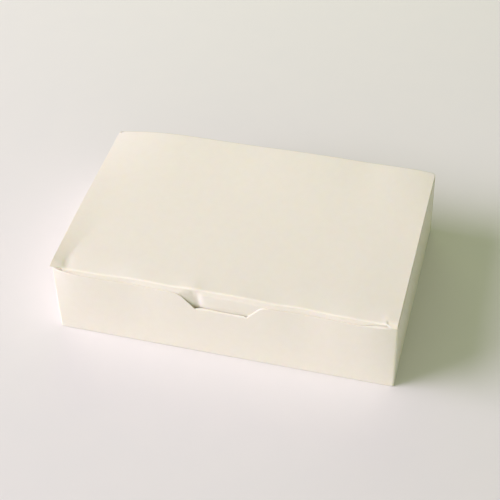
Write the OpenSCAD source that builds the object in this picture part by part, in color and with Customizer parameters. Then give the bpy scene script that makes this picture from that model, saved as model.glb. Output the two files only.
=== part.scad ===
// Folding carton for sweets, made from one creased blank of thin boxboard.
// The tray stands on its base panel. The lid turns on a crease at the top of the back wall,
// and its tuck flap slides behind the front wall, which has a thumb notch.
// Origin: centre of the underside. X runs along the front, -Y is the front, Z is up.

/* [Box] */
// Outside length of the front wall
body_w = 240; // [180:5:300]
// Outside depth from the front wall to the back wall
body_d = 152; // [110:2:200]
// Height of the front and side walls
body_h = 57.5; // [45:0.5:90]

/* [Board] */
// Thickness of the boxboard
board_t = 0.5; // [0.35:0.05:0.7]
// Outer radius of the folds that stay put
fold_r = 0.8; // [0.8:0.1:1.6]
// Running gap between a turning crease and the panel that turns on it
crease_gap = 0.2; // [0.15:0.05:0.4]

/* [Thumb notch] */
// Width of the flat floor of the notch
notch_floor_w = 36; // [20:1:50]
// Depth of the notch below the top of the front wall
notch_depth = 13.5; // [9:0.5:20]
// Slope of the flanks, measured from level
notch_flank_deg = 50; // [40:1:70]
// Radius of the shoulders where the flanks meet the top edge
notch_shoulder_r = 10; // [4:0.5:12]
// Radius of the corners of the notch floor
notch_floor_r = 1.2; // [0.5:0.1:3]

/* [Lid] */
// How far the lid stands open as stored, measured from pressed home
lid_rest_deg = 2.4; // [0.2:0.1:4]
// Gap under the lid when it is pressed home
lid_seat_gap = 0.15; // [0.1:0.05:0.4]
// How far each side edge of the lid stays in from the side wall
lid_side_inset = 0.2; // [0.1:0.1:1]
// Length of the slit at each end of the front crease
slit_len = 8; // [5:0.5:14]
// Width of the slit beside the tongue
slit_w = 0.6; // [0.4:0.1:1.2]
// How far the tongue's front edge stays back from the face of the front wall
tongue_inset = 0.2; // [0.1:0.1:0.5]
// Sideways slant of the tongue's inner edge
tongue_slant = 1.2; // [0.4:0.2:3]
// Radius of the lid's back corners
lid_corner_r = 2.5; // [1:0.5:5]

/* [Tuck flap] */
// Length of the tuck flap from the crease to its free edge
tuck_h = 26; // [20:1:32]
// Inward lean of the tuck flap from upright
tuck_lean_deg = 8; // [7:0.5:12]
// Gap between the front wall and the tuck flap at the crease
tuck_gap = 0.55; // [0.4:0.05:1]
// How much each end of the tuck flap draws in towards the free edge
tuck_taper = 3; // [1:0.5:8]
// Radius of the tuck flap's free corners
tuck_corner_r = 9; // [3:1:14]

/* [Dust flaps] */
// Length of each dust flap from its crease to its free edge
dust_w = 28; // [20:1:40]
// Gap from the ends of a dust flap to the inside of the upright folds
dust_end_gap = 0.3; // [0.2:0.1:1]
// How far the front edge steps back behind the tuck flap
dust_step = 3.6; // [3.4:0.2:8]
// Slope of the front edge, measured from square
dust_front_deg = 12; // [4:1:30]
// Slope of the back edge, measured from square, which keeps it clear of the lid
dust_back_deg = 33; // [31:1:50]
// Radius of the dust flaps' free corners
dust_corner_r = 6; // [2:1:8]

/* [Glue tabs] */
// Length of each glue tab along the side wall
tab_len = 30; // [24:1:45]
// Gap from the top of a glue tab to the top of the wall
tab_top_gap = 3; // [2.5:0.5:8]
// Gap from the foot of a glue tab to the base fold
tab_foot_gap = 1; // [0.5:0.5:4]
// Height of the slope at the top and foot of a glue tab's free end
tab_bevel = 6; // [2:1:10]

/* [Glue] */
// Thickness of the glue between a tab and its side wall
glue_t = 0.1; // [0.05:0.05:0.2]
// Height of each glue spot
glue_h = 30; // [12:1:34]
// Width of each glue spot
glue_w = 8; // [5:1:12]

/* [Hidden] */

round_fn = 64;
arc_steps = 16;
half_w = body_w / 2;
half_d = body_d / 2;

// A turning crease is a half round as thick as the board, on the end of the panel that carries it
bead_r = board_t / 2;
turn_start = bead_r + crease_gap;

// The front and back walls end where their upright folds begin
tab_face_x = half_w - board_t - glue_t;
wall_end_x = tab_face_x - fold_r;
fold_y = half_d - fold_r;

// Side walls and their dust flap creases
dust_axis_x = half_w - bead_r;
dust_axis_z = body_h - bead_r;
dust_end_y = fold_y - dust_end_gap;

// The lid's crease sits one seat gap above the walls
hinge_y = half_d - bead_r;
hinge_z = body_h + lid_seat_gap + bead_r;
lid_reach = hinge_y + half_d - board_t - tuck_gap - bead_r;
lid_half_w = half_w - lid_side_inset;
tongue_reach = hinge_y + half_d - tongue_inset;
tuck_half_w = lid_half_w - slit_len;
tongue_root_x = tuck_half_w + slit_w;

// A dust flap is full width under the lid's tongues, then steps back behind the tuck flap
dust_shoulder = dust_axis_x - tongue_root_x;
dust_step_y = dust_step - fold_y;
dust_front_y = dust_step_y + (dust_w - dust_shoulder) * tan(dust_front_deg);
dust_back_y = dust_end_y - (dust_w - turn_start) * tan(dust_back_deg);

board_cream = [0.95, 0.93, 0.86];
bead_cream = [0.92, 0.89, 0.81];
glue_amber = [0.86, 0.80, 0.62];

// The sliver between a sharp corner at tip and the round of radius r that takes its place.
// The corner's sides leave it in the directions from and to, in degrees.
module sharp_tip(tip, r, from, to) {
    half = (to - from) / 2;
    side = r / tan(half);
    centre = tip + r / sin(half) * [cos(from + half), sin(from + half)];
    difference() {
        polygon([tip, tip + side * [cos(from), sin(from)], centre, tip + side * [cos(to), sin(to)]]);
        translate(centre)
            circle(r, $fn = round_fn);
    }
}

// The same points on the other side of the middle, in the reverse order
function mirrored(points) = [for (i = [len(points) - 1 : -1 : 0]) [-points[i][0], points[i][1]]];

module mirror_pair() {
    children();
    mirror([1, 0, 0])
        children();
}

// Stands a flat outline up as a plate of board whose front face is at face_y
module upright_plate(face_y) {
    translate([0, face_y + board_t, 0])
        rotate([90, 0, 0])
            linear_extrude(board_t)
                children();
}

// Stands an outline up facing sideways: outline X becomes Y, and the low face is at face_x
module side_plate(face_x, thickness) {
    translate([face_x, 0, 0])
        rotate([90, 0, 90])
            linear_extrude(thickness)
                children();
}

module quarter_disc() {
    intersection() {
        circle(fold_r, $fn = round_fn);
        translate([-fold_r, -fold_r])
            square(fold_r);
    }
}

// Quarter round along X that fills a bend, with its centre line on the origin
module base_fold(length) {
    rotate([90, 0, 90])
        linear_extrude(length, center = true)
            quarter_disc();
}

// Half round along X, bulging towards +Z, with its flat face on the origin
module turning_bead(length) {
    rotate([90, 0, 90])
        linear_extrude(length, center = true)
            intersection() {
                circle(bead_r, $fn = round_fn);
                translate([-board_t, 0])
                    square([2 * board_t, board_t]);
            }
}

module base_panel() {
    color(board_cream)
        translate([0, 0, board_t / 2])
            cube([body_w - 2 * fold_r, body_d - 2 * fold_r, board_t], center = true);
}

// Points along an arc, ends included
function arc(centre, r, from, to) =
    [for (i = [0 : arc_steps])
        let (a = from + (to - from) * i / arc_steps)
        centre + r * [cos(a), sin(a)]];

// Right side of the notch, from the top edge down to the floor
function notch_side() =
    let (floor_x = notch_floor_w / 2,
         lip_x = floor_x + notch_depth / tan(notch_flank_deg),
         bend = tan(notch_flank_deg / 2),
         lip_centre = [lip_x + notch_shoulder_r * bend, body_h - notch_shoulder_r],
         floor_centre = [floor_x - notch_floor_r * bend, body_h - notch_depth + notch_floor_r])
    concat(
        arc(lip_centre, notch_shoulder_r, 90, 90 + notch_flank_deg),
        arc(floor_centre, notch_floor_r, notch_flank_deg - 90, -90));

module front_wall() {
    color(board_cream)
        upright_plate(-half_d)
            polygon(concat(
                [[-wall_end_x, body_h], [-wall_end_x, fold_r], [wall_end_x, fold_r], [wall_end_x, body_h]],
                notch_side(),
                mirrored(notch_side())));
}

module back_wall() {
    color(board_cream)
        upright_plate(half_d - board_t)
            translate([-wall_end_x, fold_r])
                square([2 * wall_end_x, hinge_z - fold_r]);
}

// side is -1 for the left and 1 for the right
module side_wall(side) {
    edge_y = half_d - tongue_inset;
    color(board_cream)
        side_plate(side > 0 ? half_w - board_t : -half_w, board_t)
            translate([-edge_y, fold_r])
                square([2 * edge_y, dust_axis_z - fold_r]);
}

// end is -1 for the front and 1 for the back
module cross_base_crease(end) {
    color(bead_cream)
        mirror([0, end > 0 ? 1 : 0, 0])
            translate([0, -fold_y, fold_r])
                base_fold(2 * wall_end_x);
}

module side_base_crease(side) {
    color(bead_cream)
        mirror([side > 0 ? 1 : 0, 0, 0])
            translate([fold_r - half_w, 0, fold_r])
                rotate([0, 0, -90])
                    base_fold(2 * fold_y);
}

// Puts something drawn for the front left corner at any corner
module at_corner(side, end) {
    mirror([side > 0 ? 1 : 0, 0, 0])
        mirror([0, end > 0 ? 1 : 0, 0])
            children();
}

module corner_crease(side, end) {
    color(bead_cream)
        at_corner(side, end)
            translate([-wall_end_x, -fold_y, fold_r])
                linear_extrude(body_h - tab_top_gap - fold_r)
                    quarter_disc();
}

module glue_tab(side, end) {
    foot_z = fold_r + tab_foot_gap;
    top_z = body_h - tab_top_gap;
    free_y = tab_len - fold_y;
    color(board_cream)
        at_corner(side, end)
            side_plate(-tab_face_x, board_t)
                polygon([[-fold_y, foot_z], [free_y - tab_bevel, foot_z], [free_y, foot_z + tab_bevel],
                    [free_y, top_z - tab_bevel], [free_y - tab_bevel, top_z], [-fold_y, top_z]]);
}

module glue_spot(side, end) {
    centre_y = tab_len / 2 - fold_y;
    centre_z = (body_h + fold_r + tab_foot_gap - tab_top_gap) / 2;
    round_r = glue_w / 2;
    straight = glue_h - glue_w;
    color(glue_amber)
        at_corner(side, end)
            side_plate(-half_w + board_t, glue_t)
                translate([centre_y, centre_z]) {
                    square([glue_w, straight], center = true);
                    for (up = [-straight / 2, straight / 2])
                        translate([0, up])
                            circle(round_r, $fn = round_fn);
                }
}

// Lid frame: origin on the hinge line, the lid runs towards -Y and is tipped to its stored angle
module on_lid() {
    translate([0, hinge_y, hinge_z])
        rotate([-lid_rest_deg, 0, 0])
            children();
}

module lid_crease() {
    color(bead_cream)
        translate([0, hinge_y, hinge_z])
            turning_bead(2 * wall_end_x);
}

// From the back right corner round to the root of the right tongue
lid_side = [[lid_half_w, -turn_start], [lid_half_w, -tongue_reach],
    [tongue_root_x + tongue_slant, -tongue_reach], [tongue_root_x, -lid_reach]];

module lid_panel() {
    color(board_cream)
        on_lid()
            translate([0, 0, -board_t / 2])
                linear_extrude(board_t)
                    difference() {
                        polygon(concat(lid_side, mirrored(lid_side)));
                        mirror_pair()
                            sharp_tip([lid_half_w, -turn_start], lid_corner_r, 180, 270);
                    }
}

module tuck_crease() {
    color(bead_cream)
        on_lid()
            translate([0, -lid_reach, 0])
                rotate([90, 0, 0])
                    turning_bead(2 * tuck_half_w);
}

// Hangs down from its crease, drawn with the crease on the X axis
module tuck_outline() {
    free_x = tuck_half_w - tuck_taper;
    slant = atan(tuck_taper / (tuck_h - turn_start));
    difference() {
        polygon([[-tuck_half_w, -turn_start], [-free_x, -tuck_h], [free_x, -tuck_h], [tuck_half_w, -turn_start]]);
        mirror_pair()
            sharp_tip([free_x, -tuck_h], tuck_corner_r, 90 - slant, 180);
    }
}

module tuck_flap() {
    color(board_cream)
        on_lid()
            translate([0, -lid_reach, 0])
                rotate([tuck_lean_deg + lid_rest_deg, 0, 0])
                    upright_plate(-board_t / 2)
                        tuck_outline();
}

// X is the distance from the crease, Y runs from front to back
module dust_outline() {
    difference() {
        polygon([[turn_start, dust_end_y], [turn_start, -dust_end_y], [dust_shoulder, -dust_end_y],
            [dust_shoulder, dust_step_y], [dust_w, dust_front_y], [dust_w, dust_back_y]]);
        sharp_tip([dust_w, dust_front_y], dust_corner_r, 90, 180 + dust_front_deg);
        sharp_tip([dust_w, dust_back_y], dust_corner_r, 180 - dust_back_deg, 270);
    }
}

module dust_flap(side) {
    color(board_cream)
        mirror([side > 0 ? 1 : 0, 0, 0])
            translate([-dust_axis_x, 0, dust_axis_z - board_t / 2])
                linear_extrude(board_t)
                    dust_outline();
}

module dust_crease(side) {
    color(bead_cream)
        translate([side * dust_axis_x, 0, dust_axis_z])
            rotate([0, 0, 90])
                turning_bead(2 * dust_end_y);
}

base_panel();
front_wall();
back_wall();
side_wall(-1);  // left_wall
side_wall(1);  // right_wall
cross_base_crease(-1);  // front_base_crease
cross_base_crease(1);  // back_base_crease
side_base_crease(-1);  // left_base_crease
side_base_crease(1);  // right_base_crease
corner_crease(-1, -1);  // front_left_corner_crease
corner_crease(1, -1);  // front_right_corner_crease
corner_crease(-1, 1);  // back_left_corner_crease
corner_crease(1, 1);  // back_right_corner_crease
glue_tab(-1, -1);  // front_left_glue_tab
glue_tab(1, -1);  // front_right_glue_tab
glue_tab(-1, 1);  // back_left_glue_tab
glue_tab(1, 1);  // back_right_glue_tab
glue_spot(-1, -1);  // front_left_glue_spot
glue_spot(1, -1);  // front_right_glue_spot
glue_spot(-1, 1);  // back_left_glue_spot
glue_spot(1, 1);  // back_right_glue_spot
lid_crease();
lid_panel();
tuck_crease();
tuck_flap();
dust_crease(-1);  // left_dust_crease
dust_flap(-1);  // left_dust_flap
dust_crease(1);  // right_dust_crease
dust_flap(1);  // right_dust_flap
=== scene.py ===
import math

import bpy
import numpy as np
from mathutils import Matrix, Vector


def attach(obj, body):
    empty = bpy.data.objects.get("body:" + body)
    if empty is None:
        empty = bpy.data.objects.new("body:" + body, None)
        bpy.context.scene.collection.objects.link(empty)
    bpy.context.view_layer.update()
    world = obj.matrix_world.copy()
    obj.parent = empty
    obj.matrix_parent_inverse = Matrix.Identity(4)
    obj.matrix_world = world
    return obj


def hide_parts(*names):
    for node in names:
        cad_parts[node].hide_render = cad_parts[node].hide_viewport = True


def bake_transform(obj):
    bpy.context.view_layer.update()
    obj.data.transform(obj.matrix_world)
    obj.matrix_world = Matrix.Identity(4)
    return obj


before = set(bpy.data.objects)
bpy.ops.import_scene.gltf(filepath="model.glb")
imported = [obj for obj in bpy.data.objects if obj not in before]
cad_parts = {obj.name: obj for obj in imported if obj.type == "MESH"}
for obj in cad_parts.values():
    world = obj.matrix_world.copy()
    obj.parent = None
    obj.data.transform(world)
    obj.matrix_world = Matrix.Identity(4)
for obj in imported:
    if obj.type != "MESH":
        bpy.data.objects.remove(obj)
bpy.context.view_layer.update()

print("frame loaded:", len(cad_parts), "nodes")

# All lengths below are in millimetres until they become mesh vertices
mm = 0.001

board = {
    "thick": 0.5,
    "halfLength": 120.0,
    "halfDepth": 76.0,
    "wallTop": 57.5,
    "foldRadius": 0.55,  # mid-surface radius of a creased corner
    "baseFold": 0.8,  # walls start this high, on top of the bottom folds
}
midPlane = board["thick"] / 2


def smooth(t):
    t = np.clip(t, 0.0, 1.0)
    return t * t * (3 - 2 * t)


def curveThrough(points):
    # a smooth line through (position, value) pairs, flat beyond its ends
    xs = np.array([p[0] for p in points], float)
    ys = np.array([p[1] for p in points], float)
    slope = np.gradient(ys, xs)

    def at(x):
        x = np.clip(x, xs[0], xs[-1])
        i = np.clip(np.searchsorted(xs, x) - 1, 0, len(xs) - 2)
        h = xs[i + 1] - xs[i]
        t = (x - xs[i]) / h
        return (
            ys[i] * (1 + 2 * t) * (1 - t) ** 2
            + slope[i] * h * t * (1 - t) ** 2
            + ys[i + 1] * t * t * (3 - 2 * t)
            + slope[i + 1] * h * t * t * (t - 1)
        )

    return at


def steps(*marks):
    # positions from mark to mark: (start, end, longest step), end to end without repeats
    out = []
    for start, end, longest in marks:
        count = max(1, math.ceil(abs(end - start) / longest))
        out += [start + (end - start) * k / count for k in range(count)]
    return out + [marks[-1][1]]


# How this carton has gone out of true

backRise = curveThrough(
    [(-119.8, 0.0), (-90, 0.1), (-48, 0.3), (-16, 0.5), (10, 1.1), (47, 1.3), (72, 0.9), (97, 1.2),
     (112, 0.7), (119.8, 0.1)]
)
crushed = {"from": -66.0, "over": 53.0, "forward": 2.6, "down": 3.4}  # the back left corner


def settled(x, y, z):
    # the back left corner is crushed: its top leans in and hangs, fading along both edges
    share = max(0.0, (crushed["from"] - x) / crushed["over"]) ** 2
    share *= (max(0.0, z) / board["wallTop"]) ** 1.5
    share *= float(smooth((y + 25) / 95))
    return x, y - crushed["forward"] * share, z - crushed["down"] * share


# The front wall leans in at the top, most where the flap has drawn it in, and falls back further
# towards its two upright folds
frontLean = {
    "all": 1.0,
    "drawn": 0.8,
    "drawnAt": ((-62.0, 28.0), (58.0, 26.0)),
    "endFrom": 93.0,
    "leftIn": 2.6,
    "rightIn": 2.4,
    "endPower": 2.6,
    "leftProfile": 1.2,  # the left end falls back at its top only, the right end nearly from its foot
    "rightProfile": 0.35,
    "fadeFrom": 52.0,
    "fadeOver": 20.0,
}


def wallIn(x, y, z):
    # how far the front wall and the board that turns its corners stand back from their plane
    level = float(np.clip((z - board["baseFold"]) / (board["wallTop"] - board["baseFold"]), 0.0, 1.1))
    drawn = sum(float(smooth(1 - abs(x - at) / over)) for at, over in frontLean["drawnAt"])
    away = max(0.0, min(abs(x), 119.2) - frontLean["endFrom"]) / (board["halfLength"] - frontLean["endFrom"])
    profile = frontLean["rightProfile"] if x > 0 else frontLean["leftProfile"]
    inward = (frontLean["all"] + frontLean["drawn"] * drawn) * level
    end = frontLean["rightIn"] if x > 0 else frontLean["leftIn"]
    inward += end * away ** frontLean["endPower"] * level**profile
    return inward * float(smooth((-y - frontLean["fadeFrom"]) / frontLean["fadeOver"]))


# Near the upright folds the wall's top edge is rolled in to a rim: its width along the box
rimWidth = [(-119.8, 0.3), (-114, 0.5), (-106, 0.2), (-102, 0.0), (98, 0.0), (104, 1.1), (110, 2.5), (114, 3.4),
            (119.8, 3.6)]
rim = {"inward": 0.76, "upward": 0.6}


# Board sheets


def uprightFold(bulge=30.0, r=1.0, back=0.6):
    # Mid-line of an upright fold seen from above: it turns past square, runs straight and turns
    # back in line with its glue tab, so that the fold covers the side wall's cut edge.
    turns = [(r * math.radians(90 + bulge), 90 + bulge)]
    straight = (back - 2 * r * (1 - math.cos(math.radians(bulge)))) / math.sin(math.radians(bulge))
    turns += [(straight, 90 + bulge), (r * math.radians(bulge), 90.0)]
    run, heading, x, y = 0.0, 0.0, 0.0, 0.0
    path = [(run, x, y)]
    for length, target in turns:
        count = max(2, round(length / 0.04))
        for k in range(count):
            middle = math.radians(heading + (target - heading) * (k + 0.5) / count)
            x += math.cos(middle) * length / count
            y += math.sin(middle) * length / count
            run += length / count
            path.append((run, x, y))
        heading = target
    return np.array(path).T


foldRun, foldX, foldY = uprightFold()
tabPlane = 119.15
foldFrom = tabPlane - foldX[-1]


def wallPath(u, plane, inward):
    # a long wall, its upright fold and its tab, by distance u along the blank from the middle
    run = abs(u) - foldFrom
    if run <= 0:
        return u, plane
    x = foldFrom + float(np.interp(run, foldRun, foldX))
    y = float(np.interp(run, foldRun, foldY)) + max(0.0, run - foldRun[-1])
    return math.copysign(x, u), plane + inward * y


def boardPiece(name, mid, quads, flat, scored, pressed=None):
    # Turns a mid-surface into a sheet of real thickness with a cut rim.
    # Material 0 is the coated face, 1 the inside face and 2 the cut edge.
    mid = np.array(mid, float)
    quads = np.array(quads, int)
    corner = mid[quads]
    faceNormal = np.cross(corner[:, 2] - corner[:, 0], corner[:, 3] - corner[:, 1])
    normal = np.zeros_like(mid)
    for k in range(4):
        np.add.at(normal, quads[:, k], faceNormal)
    normal /= np.linalg.norm(normal, axis=1, keepdims=True)
    count = len(mid)
    if pressed is not None:
        normal *= np.array(pressed)[:, None]
    verts = np.vstack([mid + normal * midPlane, mid - normal * midPlane]) * mm
    used = {}
    for quad in quads:
        for a, b in zip(quad, np.roll(quad, -1)):
            used.setdefault((min(a, b), max(a, b)), []).append((int(a), int(b)))
    rim = [pair[0] for pair in used.values() if len(pair) == 1]
    faces = [tuple(map(int, q)) for q in quads]
    faces += [tuple(int(v) + count for v in q[::-1]) for q in quads]
    faces += [(b, a, a + count, b + count) for a, b in rim]
    mesh = bpy.data.meshes.new(name)
    mesh.from_pydata([tuple(v) for v in verts], [], faces)
    kinds = [0] * len(quads) + [1] * len(quads) + [2] * len(rim)
    mesh.polygons.foreach_set("material_index", kinds)
    mesh.polygons.foreach_set("use_smooth", [True] * len(faces))
    # the blank's own flat coordinates, so that paper grain runs on over the folds
    flat = np.array(flat, float) * mm
    both = np.vstack([flat, flat + np.array([0.37, 0.61])])
    uv = mesh.uv_layers.new(name="blank")
    loops = np.zeros(len(mesh.loops), int)
    mesh.loops.foreach_get("vertex_index", loops)
    uv.data.foreach_set("uv", both[loops].astype(np.float32).ravel())
    mark = mesh.attributes.new("scored", "FLOAT", "POINT")
    mark.data.foreach_set("value", np.tile(np.array(scored, np.float32), 2))
    mesh.validate()
    mesh.set_sharp_from_angle(angle=math.radians(42))
    piece = bpy.data.objects.new(name, mesh)
    bpy.context.scene.collection.objects.link(piece)
    for material in (coated, inside, cutEdge):
        mesh.materials.append(material)
    return piece


def gridPiece(name, rows, columns, place, flat, scored, flip=False, pressed=None):
    # One quad grid: place(row, column) gives the point, None leaves a hole
    index, mid, uv, mark, thin = {}, [], [], [], []
    for i, r in enumerate(rows):
        for j, c in enumerate(columns):
            point = place(r, c)
            if point is not None:
                index[i, j] = len(mid)
                mid.append(settled(*point))
                uv.append(flat(r, c))
                mark.append(scored(r, c))
                thin.append(pressed(r, c) if pressed else 1.0)
    quads = []
    for i in range(len(rows) - 1):
        for j in range(len(columns) - 1):
            key = [(i, j), (i + 1, j), (i + 1, j + 1), (i, j + 1)]
            if all(k in index for k in key):
                quad = [index[k] for k in key]
                quads.append(quad[::-1] if flip else quad)
    return boardPiece(name, mid, quads, uv, mark, thin)


# Materials


def hexColour(text):
    parts = [int(text[k : k + 2], 16) / 255 for k in (0, 2, 4)]
    linear = [c / 12.92 if c <= 0.04045 else ((c + 0.055) / 1.055) ** 2.4 for c in parts]
    return (*linear, 1.0)


def addNode(tree, kind, inputs=None, **settings):
    node = tree.nodes.new(kind)
    for key, value in settings.items():
        setattr(node, key, value)
    for key, value in (inputs or {}).items():
        if isinstance(value, bpy.types.NodeSocket):
            tree.links.new(value, node.inputs[key])
        else:
            node.inputs[key].default_value = value
    return node


def boardMaterial(name, look):
    material = bpy.data.materials.new(name)
    material.use_nodes = True
    tree = material.node_tree
    tree.nodes.clear()
    if look["onSheet"]:
        place = addNode(tree, "ShaderNodeUVMap", uv_map="blank").outputs[0]
    else:
        place = addNode(tree, "ShaderNodeTexCoord").outputs["Object"]
    # fibres lie along the length of the blank, so the pattern is drawn out that way
    grain = addNode(tree, "ShaderNodeMapping", {"Vector": place, "Scale": (0.4, 1.0, 1.0)})
    clouds = addNode(
        tree, "ShaderNodeTexNoise",
        {"Vector": place, "Scale": 1 / (look["cloudSize"] * mm), "Detail": 4.0, "Roughness": 0.55},
    )
    fibres = addNode(
        tree, "ShaderNodeTexNoise",
        {"Vector": grain.outputs[0], "Scale": 1 / (look["fibreSize"] * mm), "Detail": 6.0, "Roughness": 0.7},
    )
    cloudShare = addNode(
        tree, "ShaderNodeMapRange",
        {"Value": clouds.outputs["Fac"], "From Min": 0.3, "From Max": 0.7, "To Max": look["cloudDepth"]},
    )
    fibreShare = addNode(
        tree, "ShaderNodeMapRange",
        {"Value": fibres.outputs["Fac"], "From Min": 0.35, "From Max": 0.65, "To Max": look["fibreDepth"]},
    )
    clouded = addNode(
        tree, "ShaderNodeMix",
        {"Factor": cloudShare.outputs[0], "A": hexColour(look["colour"]), "B": hexColour(look["cloud"])},
        data_type="RGBA",
    )
    # sockets of a Mix node are reached by index when it mixes colour
    clouded.inputs[6].default_value = hexColour(look["colour"])
    clouded.inputs[7].default_value = hexColour(look["cloud"])
    fibred = addNode(tree, "ShaderNodeMix", {"Factor": fibreShare.outputs[0]}, data_type="RGBA")
    tree.links.new(clouded.outputs[2], fibred.inputs[6])
    fibred.inputs[7].default_value = hexColour(look["fibre"])
    colour = fibred.outputs[2]
    if look["onSheet"]:
        # scored board is stretched, which opens its coat a little and lightens it
        scored = addNode(tree, "ShaderNodeAttribute", attribute_name="scored").outputs["Fac"]
        share = addNode(tree, "ShaderNodeMath", {0: scored, 1: look["scoreDepth"]}, operation="MULTIPLY")
        lightened = addNode(tree, "ShaderNodeMix", {"Factor": share.outputs[0]}, data_type="RGBA")
        tree.links.new(colour, lightened.inputs[6])
        lightened.inputs[7].default_value = hexColour(look["score"])
        colour = lightened.outputs[2]
    rough = addNode(
        tree, "ShaderNodeMapRange",
        {"Value": fibres.outputs["Fac"], "From Min": 0.3, "From Max": 0.7,
         "To Min": look["rough"][0], "To Max": look["rough"][1]},
    )
    wide = addNode(
        tree, "ShaderNodeBump",
        {"Height": clouds.outputs["Fac"], "Strength": 0.35, "Distance": look["cloudRelief"] * mm},
    )
    fine = addNode(
        tree, "ShaderNodeBump",
        {"Height": fibres.outputs["Fac"], "Strength": 0.5, "Distance": look["fibreRelief"] * mm,
         "Normal": wide.outputs[0]},
    )
    shader = addNode(
        tree, "ShaderNodeBsdfPrincipled",
        {"Base Color": colour, "Roughness": rough.outputs[0], "Normal": fine.outputs[0], "IOR": 1.5,
         "Specular IOR Level": look["gloss"], "Subsurface Weight": look["bleed"],
         "Subsurface Radius": (1.0, 0.8, 0.5), "Subsurface Scale": 0.5 * mm},
    )
    addNode(tree, "ShaderNodeOutputMaterial", {"Surface": shader.outputs[0]})
    return material


# Clay-coated face of folding boxboard: a smooth, nearly matt cream with faint fibre clouds
coatedLook = {
    "onSheet": True,
    "colour": "f4eee2",
    "cloud": "efe9db",
    "cloudSize": 6.0,
    "cloudDepth": 0.35,
    "cloudRelief": 0.03,
    "fibre": "eae3d2",
    "fibreSize": 0.35,
    "fibreDepth": 0.22,
    "fibreRelief": 0.012,
    "score": "f3eddc",
    "scoreDepth": 0.55,
    "rough": (0.5, 0.66),
    "gloss": 0.4,
    "bleed": 0.5,
}
coated = boardMaterial("clay_coated_boxboard_face", coatedLook)

# Uncoated inside face: the same board without its coat, greyer, with fibres that show
inside = boardMaterial(
    "uncoated_boxboard_inside",
    {**coatedLook, "colour": "dcd5be", "cloud": "cfc6aa", "cloudDepth": 0.6, "fibre": "bfb595",
     "fibreDepth": 0.45, "fibreRelief": 0.03, "rough": (0.75, 0.9), "gloss": 0.2},
)

# Die-cut edge: pressed fibre, paler than the face and quite rough
cutEdge = boardMaterial(
    "die_cut_boxboard_edge",
    {**coatedLook, "colour": "f0ebdc", "cloud": "e6dfca", "cloudSize": 1.2, "fibre": "d9cfb4",
     "fibreSize": 0.12, "fibreDepth": 0.4, "fibreRelief": 0.05, "rough": (0.8, 0.95), "gloss": 0.15},
)

# The same coated face on the solids that carry over from the CAD model
coatedSolid = boardMaterial("clay_coated_boxboard_panel", {**coatedLook, "onSheet": False})
insideSolid = boardMaterial(
    "uncoated_boxboard_panel",
    {**coatedLook, "onSheet": False, "colour": "dcd5be", "cloud": "cfc6aa", "cloudDepth": 0.6,
     "fibre": "bfb595", "fibreDepth": 0.45, "fibreRelief": 0.03, "rough": (0.75, 0.9), "gloss": 0.2},
)
# Dried carton glue: a thin amber film, smoother than the board
driedGlue = boardMaterial(
    "dried_carton_glue",
    {**coatedLook, "onSheet": False, "colour": "d8c48c", "cloud": "c4ab6c", "cloudSize": 2.0,
     "cloudDepth": 0.7, "fibre": "b79c5c", "fibreDepth": 0.2, "rough": (0.25, 0.4), "gloss": 0.5},
)
print("materials made")


# Lid and tuck flap, one sheet with a rounded fold between them

hinge = (75.75, 57.9)  # the lid's crease, y and z
lid = {
    "restDegrees": 2.4,
    "reach": 149.2,  # crease to crease
    "start": 0.55,
    "halfLength": 119.8,
    "leftBackCorner": 5.0,
    "rightBackCorner": 2.5,
    "tuckHalf": 112.4,
    "tongueRoot": 113.0,
    "tongueSlant": 2.4,
    "tongueReach": 150.95,
    "flapLength": 26.0,
    "flapTaper": 3.0,
    "flapCorner": 9.0,
    "flapLean": 1.5,
    "foldRadius": 1.2,
}
rest = math.radians(lid["restDegrees"])
alongLid = np.array([-math.cos(rest), math.sin(rest)])  # y and z of one step towards the front
aboveLid = np.array([math.sin(rest), math.cos(rest)])
lean = math.radians(lid["flapLean"])
downFlap = np.array([math.sin(lean), -math.cos(lean)])
turn = math.pi / 2 + rest + lean
tangent = lid["foldRadius"] * math.tan(turn / 2)
arcLength = lid["foldRadius"] * turn
foldStart = lid["reach"] - tangent
foldEnd = foldStart + arcLength
sheetEnd = foldEnd + lid["flapLength"] - tangent

# How far the lid's front stands off its plane along the box, and how its fold departs from that
frontRise = curveThrough(
    [(-119.8, -1.0), (-104, -1.5), (-60, -1.5), (0, -1.3), (60, -1.4), (96, -1.5), (110, -1.9), (119.8, -2.2)]
)
foldRise = curveThrough(
    [(-112, -1.3), (-92, -1.3), (-74, -1.2), (-62, -0.6), (-48, -0.4), (-30, -0.4), (-23, 0.2), (-18, 0.45),
     (-12, 0.1), (0, 0.0), (12, 0.15), (22, -0.1), (42, -0.8), (52, -0.6), (64, -0.9), (76, -1.1), (88, -0.9),
     (96, -1.1), (104, -0.9), (113, -0.6)]
)
foldBend = {"from": 130.0, "over": 18.0}  # the lid bends towards its fold from here on
tongueDrop = {"from": 145.2, "over": 6.5, "left": 0.6, "right": 1.5}  # each tongue hangs at its tip


# A strip along the left edge tilts up from a faint crease: where the crease runs, how deep it lies,
# how wide its dip is on the lid's side and how steep the strip is, by distance from the back
creaseAt = [(95, -101.0), (110, -104.0), (120, -107.0), (130, -109.0), (136, -110.5), (141, -111.5), (152, -111.8)]
creaseDeep = [(92, 0.0), (110, 0.25), (130, 0.45), (141, 0.6), (152, 0.6)]
creaseWide = [(92, 16.0), (120, 13.0), (141, 6.0), (152, 5.0)]
stripDegrees = [(92, 0.0), (110, 3.8), (120, 5.0), (130, 7.5), (136, 9.5), (145, 12.0), (152, 10.0)]


def along(marks, s):
    return float(np.interp(s, *zip(*marks)))


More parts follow.
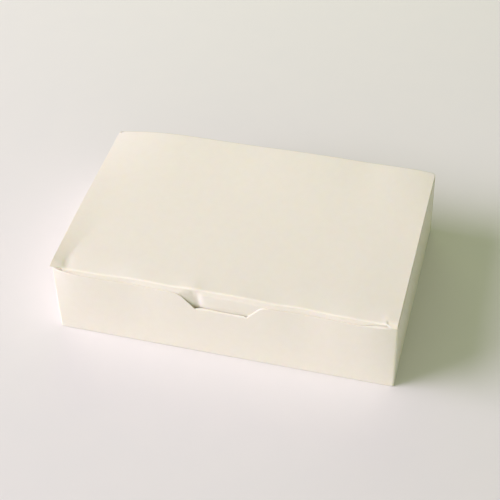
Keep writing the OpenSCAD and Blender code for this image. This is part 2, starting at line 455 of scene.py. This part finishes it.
def lidHeight(x, s):
    # warp of the flat lid, in millimetres above its plane
    share = float(smooth((s - 2.0) / (lid["reach"] - 2.0)))
    line = along(creaseAt, s)
    deep = along(creaseDeep, s)
    past = max(0.0, line - x)
    inner = x + past * float(smooth((s - 88.0) / 25.0))
    height = frontRise(inner) * share**1.3
    height += backRise(inner) * (1 - float(smooth(s / 75.0)))
    ripple = 0.12 * math.sin(0.041 * inner + 1.3) * math.sin(0.03 * s + 0.4) * float(smooth(s / 30.0))
    height += ripple * (1 - share)
    bent = max(0.0, min(s, foldStart) - foldBend["from"]) / foldBend["over"]
    height += foldRise(x) * bent**2 * float(smooth((lid["tongueRoot"] + 1 - abs(x)) / 6))
    if abs(x) > lid["tongueRoot"] - 0.01:
        drop = tongueDrop["right"] if x > 0 else tongueDrop["left"]
        height -= drop * float(smooth((s - tongueDrop["from"]) / tongueDrop["over"]))
    height -= deep * math.exp(-((max(0.0, x - line) / along(creaseWide, s)) ** 2))
    return height + past * math.tan(math.radians(along(stripDegrees, s)))


# The flap has been pushed in by a thumb at the left of the notch. It has a valley and a ridge there.
# Each list gives how far in it stands along the box, 5, 13 and 19 mm below the crease.
dentHigh = [(-28, 0.0), (-22.5, 1.0), (-19.5, 1.9), (-16, 1.4), (-12, 0.0)]
dentMiddle = [(-26, 0.0), (-22, 1.0), (-19, 2.1), (-17.5, 2.7), (-16, 2.5), (-13.5, 0.9), (-11, 0.2), (-8, 0.0),
              (22, 0.0), (28, 0.3), (38, 0.3), (46, 0.0)]
dentLow = [(-30, 0.0), (-25, 0.5), (-18.8, 1.2), (-16.5, 1.4), (-14.5, 1.0), (-12, 0.4), (-9, 0.0)]


def flapDent(x, down):
    high, middle, low = along(dentHigh, x), along(dentMiddle, x), along(dentLow, x)
    return float(np.interp(down, (1.2, 5, 13, 19, 27), (0, high, middle, low, 0.5 * low)))


# The flap lies against the back of the front wall, and further back where the wall's edge is turned in
flapGap = {"plain": 0.62, "notch": 0.75, "notchTop": 50.0, "notchOver": 6.0, "notchHalf": 22.0, "sideOver": 4.0}


def flapPlane(x, z):
    level = min(z, board["wallTop"])
    notch = float(smooth((flapGap["notchTop"] - z) / flapGap["notchOver"]))
    notch *= float(smooth((flapGap["notchHalf"] - abs(x)) / flapGap["sideOver"]))
    rolled = rim["inward"] * along(rimWidth, x) * float(smooth((z - 48.0) / 8.0)) * float(smooth((61.5 - z) / 3.5))
    out = board["halfDepth"] - midPlane
    return -out + wallIn(x, -out, level) + flapGap["plain"] + flapGap["notch"] * notch + rolled


def crestIn(x, s):
    # the lid's front is drawn back where the front wall leans in most
    drawn = wallIn(min(abs(x), frontLean["endFrom"]) * (1 if x > 0 else -1), -75.0, board["wallTop"])
    return 0.8 * (drawn - frontLean["all"]) * float(smooth((s - 110) / 38))


def sheetPoint(s, x):
    if s <= foldStart:
        at = np.array(hinge) + alongLid * s + aboveLid * lidHeight(x, s)
        return (x, at[0] + crestIn(x, s), at[1])
    lift = aboveLid * lidHeight(x, foldStart) + np.array([crestIn(x, foldStart), 0.0])
    if s <= foldEnd:
        a = (s - foldStart) / lid["foldRadius"]
        centre = np.array(hinge) + alongLid * foldStart - aboveLid * lid["foldRadius"]
        at = centre + lid["foldRadius"] * (aboveLid * math.cos(a) + alongLid * math.sin(a)) + lift
        return (x, at[0], at[1])
    down = tangent + s - foldEnd
    corner = np.array(hinge) + alongLid * lid["reach"]
    at = corner + downFlap * down + lift
    share = float(smooth((down - tangent) / 3.2))
    y = at[0] + (flapPlane(x, at[1]) - at[0]) * share + flapDent(x, down)
    return (x, y, at[1])


def flapHalf(down):
    half = lid["tuckHalf"] - lid["flapTaper"] * down / lid["flapLength"]
    low = lid["flapLength"] - lid["flapCorner"]
    if down > low:
        drop = min(down - low, lid["flapCorner"])
        half -= lid["flapCorner"] - math.sqrt(max(0.0, lid["flapCorner"] ** 2 - drop**2))
    return half


def lidPlace(s, x):
    tuckHalf, root = lid["tuckHalf"], lid["tongueRoot"]
    if s > foldEnd:
        if abs(x) > tuckHalf + 0.01:
            return None
        return sheetPoint(s, x / tuckHalf * flapHalf(tangent + s - foldEnd))
    if abs(x) >= root - 0.01:
        if s > foldStart + 0.01:
            # tongue: it carries on flat past the crease
            share = (s - foldStart) / (foldEnd - foldStart)
            if share > 1.001:
                return None
            flatS = foldStart + share * (lid["tongueReach"] - foldStart)
            inner = root + lid["tongueSlant"] * share
            outer = lid["halfLength"]
            t = (abs(x) - root) / (outer - root)
            wide = math.copysign(inner + (outer - inner) * t, x)
            at = np.array(hinge) + alongLid * flatS + aboveLid * lidHeight(wide, flatS)
            return (wide, at[0], at[1])
        # rounded back corners
        corner = lid["leftBackCorner"] if x < 0 else lid["rightBackCorner"]
        drop = corner - (s - lid["start"])
        if drop > 0:
            cut = corner - math.sqrt(corner**2 - min(drop, corner) ** 2)
            t = (abs(x) - root) / (lid["halfLength"] - root)
            x = math.copysign(root + (lid["halfLength"] - cut - root) * t, x)
        return sheetPoint(s, x)
    return sheetPoint(s, x)


innerColumns = steps(
    (-112.4, -98, 1.0), (-98, -46, 2.5), (-46, -30, 1.2), (-30, -5, 0.6), (-5, 36, 1.4), (36, 98, 2.5),
    (98, 112.4, 1.3),
)
tongueColumns = steps((113.0, 115.0, 0.7), (115.0, 119.8, 0.8))
lidColumns = [-x for x in tongueColumns[::-1]] + innerColumns + tongueColumns
lidRows = steps(
    (lid["start"], 5.55, 0.4), (5.55, 12, 1.5), (12, 140, 4.0), (140, foldStart, 1.2),
    (foldStart, foldEnd, 0.16), (foldEnd, sheetEnd - 9.5, 1.0), (sheetEnd - 9.5, sheetEnd - 1.5, 0.8),
    (sheetEnd - 1.5, sheetEnd, 0.2),
)


def foldMark(s):
    return math.exp(-(((s - (foldStart + foldEnd) / 2) / 1.5) ** 2))


lidSheet = gridPiece(
    "lid_and_tuck_flap", lidRows, lidColumns, lidPlace,
    lambda s, x: (x, -s), lambda s, x: foldMark(s), flip=False,
)
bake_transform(lidSheet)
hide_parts("lid_panel", "tuck_crease", "tuck_flap")
print("lid sheet made:", len(lidSheet.data.polygons), "faces")


# Back wall with the fold that the lid turns on

wallEnd = 118.6
radius = board["foldRadius"]
quarter = radius * math.pi / 2
backTop = hinge[1] - radius


tab = {"length": 30.0, "top": 54.5, "foot": 1.8, "bevel": 6.0}
roundEnd = foldFrom + foldRun[-1]
tabEnd = roundEnd + tab["length"] - foldY[-1]


def tabEnds(u, depth, top):
    # foot and top of the board past the wall's end: over the fold, then along the tab
    share = float(smooth((abs(u) - wallEnd) / (roundEnd - wallEnd)))
    foot = board["baseFold"] + (tab["foot"] - board["baseFold"]) * share
    top = top - 0.2 + (tab["top"] - top + 0.2) * share
    free = max(0.0, depth - (tab["length"] - tab["bevel"]))
    return foot + free, top - free



def backPlace(row, u):
    kind, value = row
    x, y = wallPath(u, hinge[0], -1)
    if kind == "wall":
        foot, top = board["baseFold"], backTop
        if abs(u) > wallEnd:
            foot, top = tabEnds(u, hinge[0] - y, backTop)
        z = foot + (top - foot) * value
        return (x, y, z + backRise(x) * value**2)
    if abs(u) > wallEnd:
        return None
    a = value / radius
    y = hinge[0] - radius + radius * math.cos(a)
    return (x, y, backTop + radius * math.sin(a) + backRise(x))


backRows = [("wall", k / 16) for k in range(17)] + [("fold", quarter * k / 8) for k in range(1, 9)]
backHalf = steps((0, wallEnd - 0.4, 3.0), (wallEnd - 0.4, wallEnd, 0.2), (wallEnd, wallEnd + 0.05, 0.05),
                 (wallEnd + 0.05, roundEnd, 0.16), (roundEnd, tabEnd - 6, 4.0), (tabEnd - 6, tabEnd, 1.0))
backSheet = gridPiece(
    "back_wall_and_lid_crease", backRows, [-u for u in backHalf[:0:-1]] + backHalf, backPlace,
    lambda row, u: (u, row[1] * (57 if row[0] == "wall" else 1)), lambda row, u: 0.5 if row[0] == "fold" else 0.0,
    flip=True,
)
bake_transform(backSheet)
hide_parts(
    "back_wall", "lid_crease", "back_left_corner_crease", "back_right_corner_crease",
    "back_left_glue_tab", "back_right_glue_tab",
)


# Side walls with their dust flaps


dust = {
    "axis": 57.25,
    "length": 28.0,
    "rootFront": 75.3,
    "rootBack": 74.9,
    "shoulder": 7.35,
    "stepY": -71.6,
    "frontDegrees": 12.0,
    "backDegrees": 33.0,
    "corner": 6.0,
    "wallFront": 73.8,
    "wallBack": 73.8,
    "sag": 4.0,  # the flap's free edge hangs below its crease
}
frontSlope = math.tan(math.radians(dust["frontDegrees"]))
backSlope = math.tan(math.radians(dust["backDegrees"]))
cornerLine = dust["length"] - dust["corner"]


def dustEnds(d, side):
    # front and back ends of the flap at distance d from its crease
    if d < dust["shoulder"]:
        front = -dust["rootFront"] + wallIn(side * (board["halfLength"] - d), -dust["rootFront"], board["wallTop"])
    else:
        front = dust["stepY"] + (d - dust["shoulder"]) * frontSlope
    back = dust["rootBack"] - d * backSlope
    if d > cornerLine:
        fall = math.sqrt(max(0.0, dust["corner"] ** 2 - (d - cornerLine) ** 2))
        tipFront = dust["stepY"] + (dust["length"] - dust["shoulder"]) * frontSlope
        tipBack = dust["rootBack"] - dust["length"] * backSlope
        frontTurn = math.radians(90 - dust["frontDegrees"])
        backTurn = math.radians(90 - dust["backDegrees"])
        if d > cornerLine + dust["corner"] * math.cos(frontTurn):
            front = tipFront + dust["corner"] * math.tan(frontTurn / 2) - fall
        if d > cornerLine + dust["corner"] * math.cos(backTurn):
            back = tipBack - dust["corner"] * math.tan(backTurn / 2) + fall
    return front, back


def sidePlace(side):
    wallX = board["halfLength"] - midPlane
    top = dust["axis"] - radius

    def place(s, t):
        if s <= top:
            y = -dust["wallFront"] + (dust["wallFront"] + dust["wallBack"]) * t
            nip = 0.12 * max(0.0, 1 - (dust["wallBack"] - abs(y)) / 2) ** 2
            return (side * (wallX - nip), y + wallIn(side * wallX, y, s), s)
        front, back = dustEnds(max(0.0, s - top - quarter + radius), side)
        y = front + (back - front) * t
        if s <= top + quarter:
            a = (s - top) / radius
            return (side * (wallX - radius + radius * math.cos(a)), y, top + radius * math.sin(a))
        d = s - top - quarter
        z = dust["axis"] - dust["sag"] * (d / dust["length"]) ** 1.3
        return (side * (wallX - radius - d), y, z)

    return place


sideTop = dust["axis"] - radius
flapRun = sideTop + quarter
flapEnd = flapRun + dust["length"] - radius
shoulderAt = flapRun + dust["shoulder"] - radius
for side, word in ((-1, "left"), (1, "right")):
    def pressedEdge(s, t):
        # the upright cut edges are pressed thin against the folds they meet
        return 0.55 + 0.45 * float(smooth(75 * min(t, 1 - t))) if s <= sideTop else 1.0

    sheet = gridPiece(
        word + "_wall_and_dust_flap",
        steps(
            (board["baseFold"], sideTop - 2, 6.0), (sideTop - 2, sideTop, 0.7), (sideTop, flapRun, 0.11),
            (flapRun, shoulderAt - 0.05, 1.5), (shoulderAt - 0.05, shoulderAt + 0.05, 0.1),
            (shoulderAt + 0.05, flapEnd - 6.5, 2.0), (flapEnd - 6.5, flapEnd - 0.8, 0.7),
            (flapEnd - 0.8, flapEnd, 0.14),
        ),
        [0, 0.005, 0.01, 0.014] + [k / 44 for k in range(1, 44)] + [0.986, 0.99, 0.995, 1.0], sidePlace(side),
        lambda s, t: (t * 150 + 300, s), lambda s, t: math.exp(-(((s - sideTop - 0.4) / 1.0) ** 2)),
        flip=side > 0, pressed=pressedEdge,
    )
    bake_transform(sheet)
    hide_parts(word + "_wall", word + "_dust_crease", word + "_dust_flap")


# Front wall, wrapped round into its two glue tabs

front = {
    "notchFloor": 18.0,
    "notchDepth": 13.5,
    "flankDegrees": 50.0,
    "shoulderRadius": 10.0,
    "floorRadius": 1.2,
    "lipLeft": 0.35,  # the thumb notch's edge is turned in by use, least on its left flank
    "lipRight": 0.7,
    "lipPlain": 0.25,
    "lipTurn": 0.4,
}
flank = math.radians(front["flankDegrees"])
lipX = front["notchFloor"] + front["notchDepth"] / math.tan(flank)
shoulderX = lipX + front["shoulderRadius"] * math.tan(flank / 2)
floorX = front["notchFloor"] - front["floorRadius"] * math.tan(flank / 2)
notchLip = [(-18.2, 0.8), (-16.5, 1.2), (-13, 1.9), (-7, 1.8), (0, 1.6), (13, 1.6), (16.5, 1.6), (18.2, 0.7)]


def frontTop(x):
    top = board["wallTop"]
    a = abs(x)
    if a >= shoulderX:
        return top
    if a <= floorX:
        return top - front["notchDepth"]
    r = front["shoulderRadius"]
    if a > shoulderX - r * math.sin(flank):
        return top - r + math.sqrt(r * r - (shoulderX - a) ** 2)
    r = front["floorRadius"]
    if a < floorX + r * math.sin(flank):
        return top - front["notchDepth"] + r - math.sqrt(r * r - (a - floorX) ** 2)
    return top - (lipX - a) * math.tan(flank)


frontPlane = -board["halfDepth"] + midPlane


def lipWidth(x):
    a = abs(x)
    if a > shoulderX:
        return front["lipPlain"]
    wide = along(notchLip, x) if a < 18.2 else front["lipLeft"] if x < 0 else front["lipRight"]
    return front["lipPlain"] + (wide - front["lipPlain"]) * float(smooth((shoulderX - a) / 5))


def frontPlace(row, u):
    kind, value = row
    x, y = wallPath(u, frontPlane, 1)
    wall = abs(u) <= wallEnd
    foot, top = (board["baseFold"], frontTop(x)) if wall else tabEnds(u, y - frontPlane, frontTop(wallEnd))
    if kind == "wall":
        z = foot + (top - foot) * value
        return (x, y + wallIn(x, y, z), z)
    if not wall:
        return None
    slope = (frontTop(x + 0.05) - frontTop(x - 0.05)) / 0.1
    size = math.hypot(1, slope)
    wide = lipWidth(x) * value
    rolled = along(rimWidth, x) * value
    inward = front["lipTurn"] * lipWidth(x) * value**1.5 + rim["inward"] * rolled
    return (x - wide * slope / size, y + inward + wallIn(x, y, top), top + wide / size + rim["upward"] * rolled)


frontRows = [("wall", k / 22) for k in range(22)] + [("wall", 0.98), ("wall", 1.0)]
frontRows += [("lip", k / 4) for k in range(1, 5)]
frontHalf = steps(
    (0, floorX, 1.2), (floorX, shoulderX, 0.5), (shoulderX, 99, 3.0), (99, wallEnd - 0.4, 1.2),
    (wallEnd - 0.4, wallEnd, 0.2), (wallEnd, wallEnd + 0.05, 0.05), (wallEnd + 0.05, roundEnd, 0.16),
    (roundEnd, tabEnd - 6, 4.0), (tabEnd - 6, tabEnd, 1.0),
)
frontSheet = gridPiece(
    "front_wall_and_glue_tabs", frontRows, [-u for u in frontHalf[:0:-1]] + frontHalf, frontPlace,
    lambda row, u: (u, row[1] * (57 if row[0] == "wall" else 1)),
    lambda row, u: math.exp(-(((abs(u) - 118.9) / 1.2) ** 2)), flip=True,
)
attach(frontSheet, "tray")
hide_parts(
    "front_wall", "front_left_corner_crease", "front_right_corner_crease",
    "front_left_glue_tab", "front_right_glue_tab",
)
print("walls made")


# Solids that carry over

for name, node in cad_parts.items():
    node.data.materials.clear()
    if "spot" in name:
        node.data.materials.append(driedGlue)
    elif name.startswith("back_") and ("tab" in name or "corner" in name):
        node.data.materials.append(insideSolid)
    else:
        node.data.materials.append(coatedSolid)


# Floor, light and camera

stageLook = {
    "floorColour": "e7e5e1",
    "floorSize": 8.0,
    # a broad soft light from the left and a little from the front, as from a large window
    "keyWatts": 197.0,
    "keyColour": "f2e4ff",
    "keyFrom": (-0.951, -0.309),
    "keyRise": 33.0,
    "keyDistance": 4.0,
    "keySize": 3.0,
    # a weak warm lamp behind the box on the left
    "backWatts": 1.8,
    "backColour": "f0ffc4",
    "backFrom": (-0.25, 1.0),
    "backRise": 36.0,
    "backDistance": 1.1,
    "backSize": 0.8,
    # a faint violet fill from low in front, as from an open sky
    "fillWatts": 2.1,
    "fillColour": "8959ff",
    "fillFrom": (0.1, -1.0),
    "fillRise": 8.0,
    "fillDistance": 2.0,
    "fillSize": 1.0,
    # the room is pale, and brighter towards the front
    "roomColour": "f6ffd7",
    "roomStrength": 0.76,
}


def floorMaterial():
    # Smooth painted table: pale, very slightly mottled, with a dull sheen
    material = bpy.data.materials.new("pale_painted_table")
    material.use_nodes = True
    tree = material.node_tree
    tree.nodes.clear()
    place = addNode(tree, "ShaderNodeTexCoord").outputs["Object"]
    mottle = addNode(tree, "ShaderNodeTexNoise", {"Vector": place, "Scale": 40.0, "Detail": 5.0})
    tint = addNode(tree, "ShaderNodeMix", {"Factor": mottle.outputs["Fac"]}, data_type="RGBA")
    tint.inputs[6].default_value = hexColour(stageLook["floorColour"])
    tint.inputs[7].default_value = hexColour("e4e3e0")
    shader = addNode(
        tree, "ShaderNodeBsdfPrincipled",
        {"Base Color": tint.outputs[2], "Roughness": 0.7, "Specular IOR Level": 0.25},
    )
    addNode(tree, "ShaderNodeOutputMaterial", {"Surface": shader.outputs[0]})
    return material


half = stageLook["floorSize"] / 2
floorMesh = bpy.data.meshes.new("floor")
floorMesh.from_pydata([(-half, -half, 0), (half, -half, 0), (half, half, 0), (-half, half, 0)], [], [(0, 1, 2, 3)])
floorMesh.materials.append(floorMaterial())
floor = bpy.data.objects.new("floor", floorMesh)
bpy.context.scene.collection.objects.link(floor)


def areaLight(name, direction, rise, distance, size, watts, colour):
    lamp = bpy.data.lights.new(name, "AREA")
    lamp.shape = "DISK"
    lamp.size = size
    lamp.energy = watts
    lamp.color = hexColour(colour)[:3]
    lampObject = bpy.data.objects.new(name, lamp)
    level = Vector((*direction, 0)).normalized() * math.cos(math.radians(rise))
    towards = Vector((level.x, level.y, math.sin(math.radians(rise))))
    lampObject.location = towards * distance
    lampObject.rotation_euler = towards.to_track_quat("Z", "Y").to_euler()
    bpy.context.scene.collection.objects.link(lampObject)


areaLight(
    "window_light", stageLook["keyFrom"], stageLook["keyRise"], stageLook["keyDistance"],
    stageLook["keySize"], stageLook["keyWatts"], stageLook["keyColour"],
)
areaLight(
    "back_lamp", stageLook["backFrom"], stageLook["backRise"], stageLook["backDistance"],
    stageLook["backSize"], stageLook["backWatts"], stageLook["backColour"],
)
areaLight(
    "front_fill", stageLook["fillFrom"], stageLook["fillRise"], stageLook["fillDistance"],
    stageLook["fillSize"], stageLook["fillWatts"], stageLook["fillColour"],
)
world = bpy.data.worlds.new("soft_room")
world.use_nodes = True
room = world.node_tree
towards = addNode(room, "ShaderNodeTexCoord").outputs["Generated"]
forward = addNode(room, "ShaderNodeSeparateXYZ", {"Vector": towards}).outputs["Y"]
brightness = addNode(
    room, "ShaderNodeMapRange",
    {"Value": forward, "From Min": 1.0, "From Max": -1.0, "To Min": 0.0, "To Max": stageLook["roomStrength"]},
)
room.nodes["Background"].inputs[0].default_value = hexColour(stageLook["roomColour"])
room.links.new(brightness.outputs[0], room.nodes["Background"].inputs[1])
bpy.context.scene.world = world
bpy.context.scene.view_settings.view_transform = "Standard"

camera = {
    "at": (0.192731, -0.629701, 0.743727),
    "right": (0.966676, 0.253306, -0.037062),
    "up": (-0.162382, 0.718619, 0.676179),
    "back": (0.197914, -0.647628, 0.735804),
    "lens": 97.468,
}
lens = bpy.data.cameras.new("camera")
lens.sensor_width = 36.0
lens.lens = camera["lens"]
lens.clip_start = 0.05
cameraObject = bpy.data.objects.new("camera", lens)
turned = Matrix((camera["right"], camera["up"], camera["back"])).transposed().to_4x4()
cameraObject.matrix_world = Matrix.Translation(camera["at"]) @ turned
bpy.context.scene.collection.objects.link(cameraObject)
bpy.context.scene.camera = cameraObject
print("stage made")
